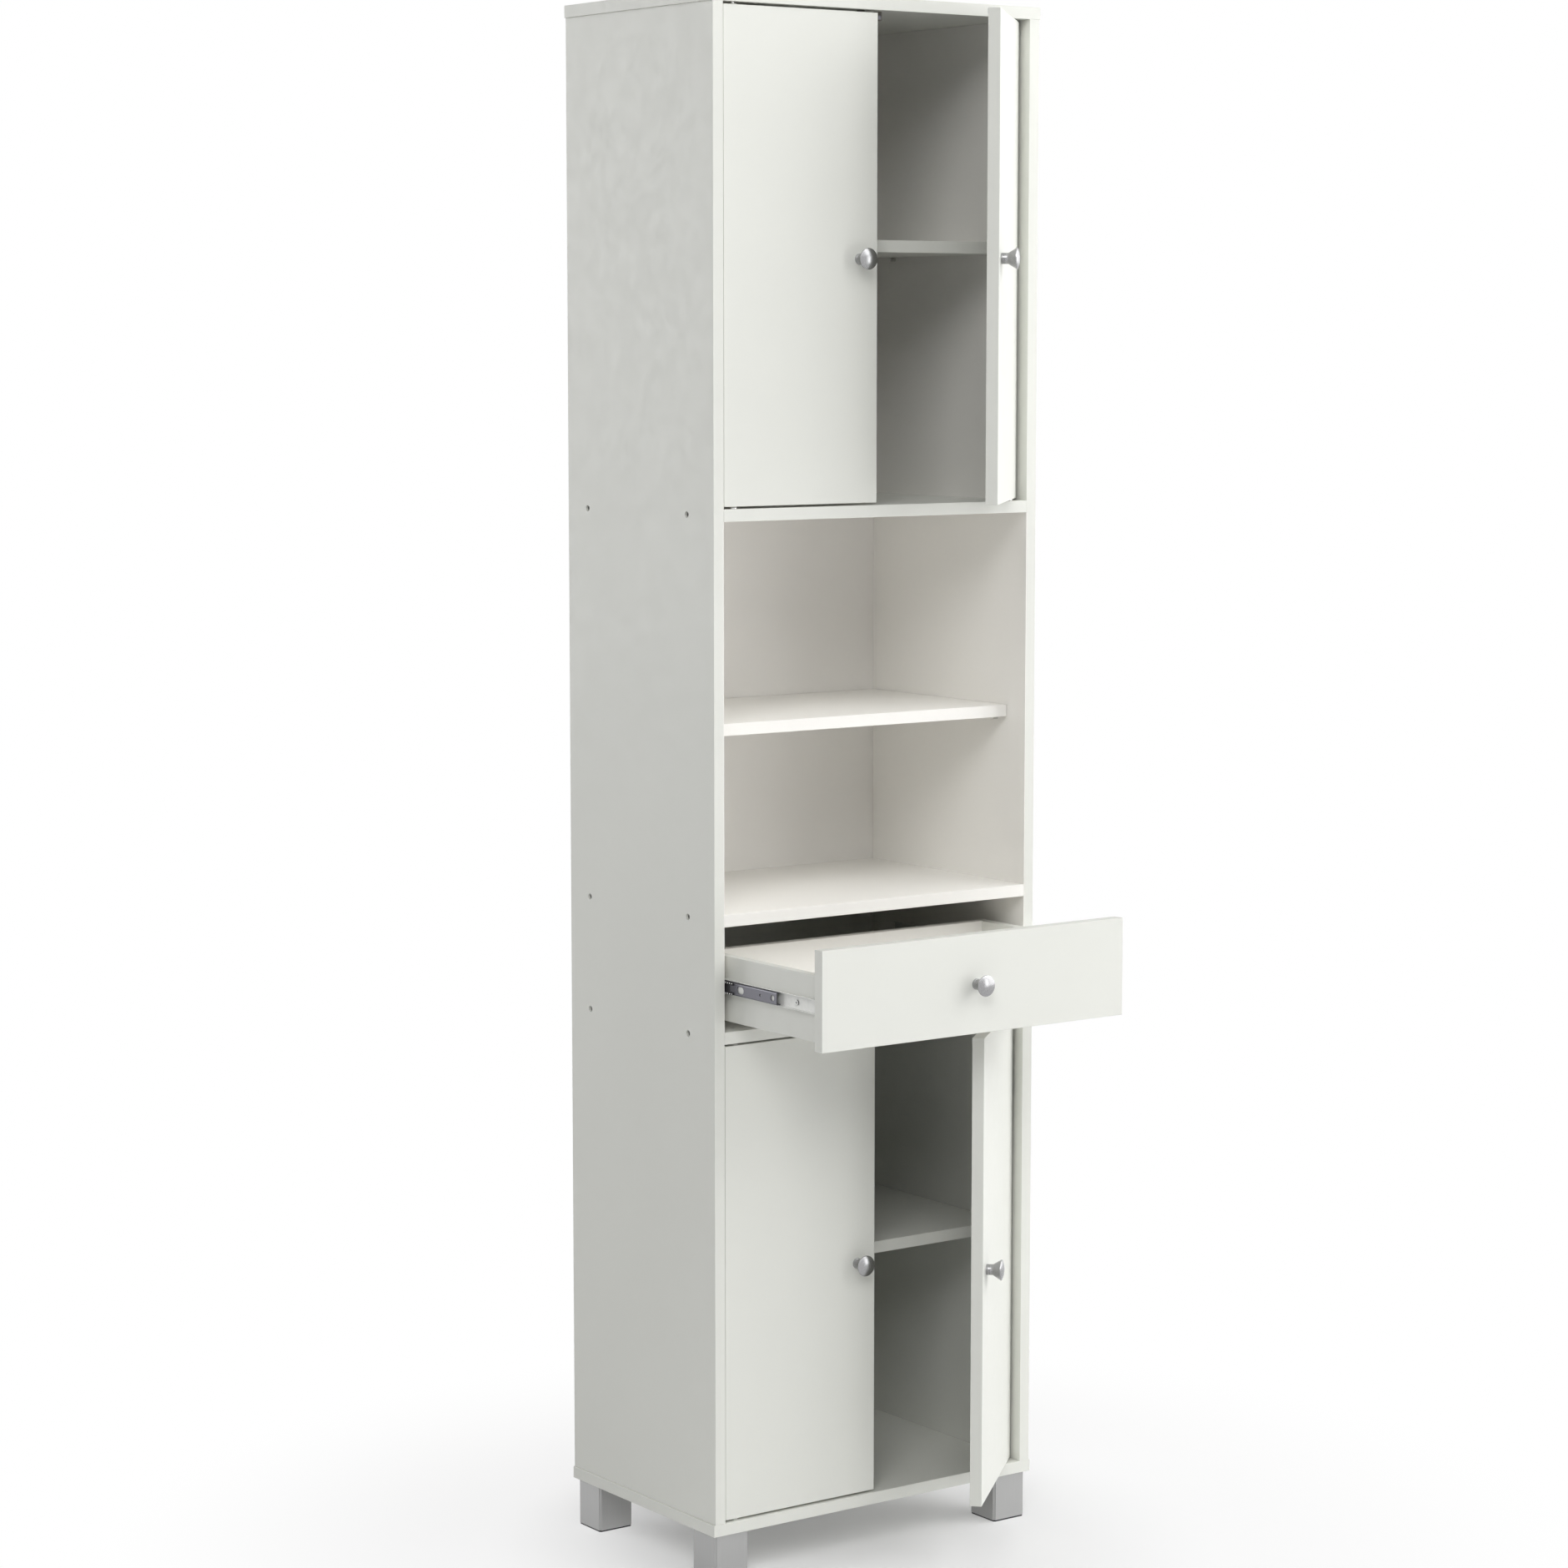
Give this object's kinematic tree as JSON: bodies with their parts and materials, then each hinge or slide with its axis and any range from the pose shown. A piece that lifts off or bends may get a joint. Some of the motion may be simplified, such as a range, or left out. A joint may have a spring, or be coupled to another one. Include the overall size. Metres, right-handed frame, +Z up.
{
  "type": "bathroom storage tower",
  "caption": "Tall narrow white cabinet on square legs: inset swinging doors above and below, an open niche with a shelf, and a drawer on metal slides.",
  "frame": {"origin": "on the floor, at the middle in X and Y of the space the tower takes up as stored, with its drawer pulled out and its right-hand doors ajar", "axes": "+Z up; +Y towards the back, so the doors and the drawer open towards -Y; +X to the right of someone who faces the front"},
  "size_m": [0.5, 0.5426, 1.9355],
  "materials": {
    "white_board": "satin",
    "white_hardboard": "satin",
    "satin_steel": "satin",
    "satin_zinc_alloy": "satin",
    "galvanised_steel": "satin",
    "dark_steel": "satin",
    "zinc_plated_steel": "satin",
    "plated_pins": "polished",
    "beech": "matte",
    "glide_plastic": "matte",
    "white_plastic": "gloss"
  },
  "bodies": {
    "cabinet": {"side_panel_left": "white_board", "side_panel_right": "white_board", "top_panel": "white_board", "bottom_panel": "white_board", "back_panel_upper": "white_hardboard", "back_panel_lower": "white_hardboard", "fixed_shelf_upper": "white_board", "fixed_shelf_middle": "white_board", "fixed_shelf_lower": "white_board", "upper_shelf": "white_board", "niche_shelf": "white_board", "lower_shelf": "white_board", "shelf_pins": "plated_pins", "panel_screws": "zinc_plated_steel", "panel_dowels": "beech", "wood_screws": "zinc_plated_steel", "back_nails": "zinc_plated_steel", "leg_front_left": "satin_steel", "leg_front_right": "satin_steel", "leg_back_left": "satin_steel", "leg_back_right": "satin_steel", "leg_glides": "glide_plastic", "pivot_pins": "plated_pins", "catch_housings": "white_plastic", "catch_magnets": "zinc_plated_steel", "slide_cabinet_left": "galvanised_steel", "slide_cabinet_right": "galvanised_steel"},
    "runner_left": {"slide_middle_left": "dark_steel"},
    "runner_right": {"slide_middle_right": "dark_steel"},
    "drawer": {"slide_drawer_left": "galvanised_steel", "slide_drawer_right": "galvanised_steel", "drawer_front": "white_board", "drawer_side_left": "white_board", "drawer_side_right": "white_board", "drawer_back": "white_board", "drawer_bottom": "white_hardboard", "drawer_dowels": "beech", "drawer_screws": "zinc_plated_steel", "drawer_knob": "satin_zinc_alloy", "drawer_knob_screw": "zinc_plated_steel"},
    "door_upper_left": {"upper_left_door": "white_board", "upper_left_bushes": "white_plastic", "upper_left_knob": "satin_zinc_alloy", "upper_left_knob_screw": "zinc_plated_steel", "upper_left_strike": "zinc_plated_steel"},
    "door_upper_right": {"upper_right_door": "white_board", "upper_right_bushes": "white_plastic", "upper_right_knob": "satin_zinc_alloy", "upper_right_knob_screw": "zinc_plated_steel", "upper_right_strike": "zinc_plated_steel"},
    "door_lower_left": {"lower_left_door": "white_board", "lower_left_bushes": "white_plastic", "lower_left_knob": "satin_zinc_alloy", "lower_left_knob_screw": "zinc_plated_steel", "lower_left_strike": "zinc_plated_steel"},
    "door_lower_right": {"lower_right_door": "white_board", "lower_right_bushes": "white_plastic", "lower_right_knob": "satin_zinc_alloy", "lower_right_knob_screw": "zinc_plated_steel", "lower_right_strike": "zinc_plated_steel"}
  },
  "joints": [
    {"name": "drawer_slide", "type": "slide", "parent": "cabinet", "child": "drawer", "axis": [0, -1, 0], "range_m": [-0.1994, 0.04]},
    {"name": "runner_left_slide", "type": "slide", "parent": "cabinet", "child": "runner_left", "axis": [0, -1, 0], "range_m": [-0.125, 0.025]},
    {"name": "runner_right_slide", "type": "slide", "parent": "cabinet", "child": "runner_right", "axis": [0, -1, 0], "range_m": [-0.125, 0.025]},
    {"name": "upper_left_hinge", "type": "hinge", "parent": "cabinet", "child": "door_upper_left", "pos_m": [-0.2125, -0.04185, 1.6215], "axis": [0, 0, -1], "range_deg": [0, 110]},
    {"name": "upper_right_hinge", "type": "hinge", "parent": "cabinet", "child": "door_upper_right", "pos_m": [0.2125, -0.04185, 1.6215], "axis": [0, 0, 1], "range_deg": [-45.3, 64.7]},
    {"name": "lower_left_hinge", "type": "hinge", "parent": "cabinet", "child": "door_lower_left", "pos_m": [-0.2125, -0.04185, 0.375], "axis": [0, 0, -1], "range_deg": [0, 110]},
    {"name": "lower_right_hinge", "type": "hinge", "parent": "cabinet", "child": "door_lower_right", "pos_m": [0.2125, -0.04185, 0.375], "axis": [0, 0, 1], "range_deg": [-42, 68]}
  ],
  "couplings": [
    {"joint": "runner_left_slide", "follows": "drawer_slide", "ratio": 0.625},
    {"joint": "runner_right_slide", "follows": "drawer_slide", "ratio": 0.625}
  ]
}
